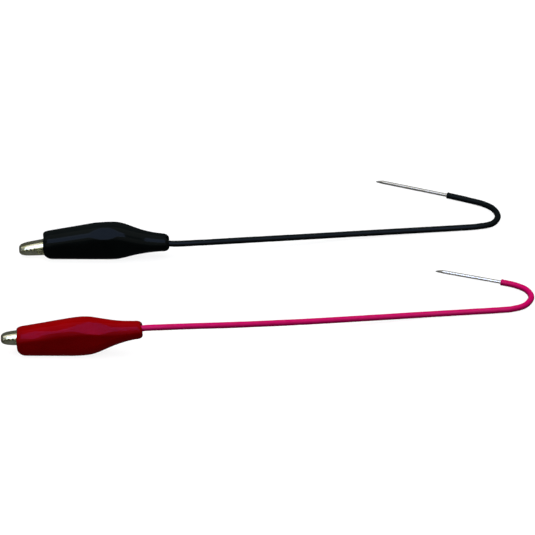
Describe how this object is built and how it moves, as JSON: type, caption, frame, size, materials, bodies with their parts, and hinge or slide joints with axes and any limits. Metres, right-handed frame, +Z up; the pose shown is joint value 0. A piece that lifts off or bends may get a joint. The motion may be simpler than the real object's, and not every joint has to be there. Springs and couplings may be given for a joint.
{
  "type": "alligator clip lead",
  "caption": "Black and red test leads: a sprung alligator clip in a soft vinyl boot, on a thin insulated wire that ends in a bare solid pin.",
  "frame": {"origin": "bottom centre of the box round the two booted clips, on the bench, wires and pins left out", "axes": "+X from the clips' tips towards the wires, +Y from the red lead towards the black one, +Z up off the bench"},
  "size_m": [0.1774, 0.1184, 0.013],
  "materials": {
    "black_vinyl": "glossy soft vinyl",
    "red_vinyl": "glossy soft vinyl",
    "black_insulation": "glossy wire insulation",
    "red_insulation": "glossy wire insulation",
    "nickel_steel": "bright nickel plating over pressed steel",
    "spring_steel": "drawn spring wire",
    "tinned_pin": "bright tinned solid wire",
    "copper": "bare drawn copper",
    "solder": "satin solder"
  },
  "bodies": {
    "black_lead": {"black_lower_jaw": "nickel_steel", "black_pivot_rivet": "nickel_steel", "black_torsion_spring": "spring_steel", "black_clip_solder": "solder", "black_boot": "black_vinyl", "black_wire_jacket": "black_insulation", "black_conductor": "copper", "black_pin_solder": "solder", "black_probe_pin": "tinned_pin"},
    "black_lever": {"black_upper_jaw": "nickel_steel"},
    "red_lead": {"red_lower_jaw": "nickel_steel", "red_pivot_rivet": "nickel_steel", "red_torsion_spring": "spring_steel", "red_clip_solder": "solder", "red_boot": "red_vinyl", "red_wire_jacket": "red_insulation", "red_conductor": "copper", "red_pin_solder": "solder", "red_probe_pin": "tinned_pin"},
    "red_lever": {"red_upper_jaw": "nickel_steel"}
  },
  "joints": [
    {"name": "black_jaw_hinge", "type": "hinge", "parent": "black_lead", "child": "black_lever", "pos_m": [-0.00357, 0.0321, 0.00476], "axis": [0, 1, 0], "range_deg": [0, 26], "stiffness_Nm_per_rad": 0.001, "springref_deg": -5.73, "deforming": ["black_torsion_spring", "black_boot"]},
    {"name": "red_jaw_hinge", "type": "hinge", "parent": "red_lead", "child": "red_lever", "pos_m": [-0.00891, -0.0321, 0.00656], "axis": [0, 1, 0], "range_deg": [0, 26], "stiffness_Nm_per_rad": 0.001, "springref_deg": -5.73, "deforming": ["red_torsion_spring", "red_boot"]},
    {"name": "red_lead_lift", "type": "slide", "parent": "black_lead", "child": "red_lead", "axis": [0, 0, 1], "range_m": [0, 0.06]}
  ]
}
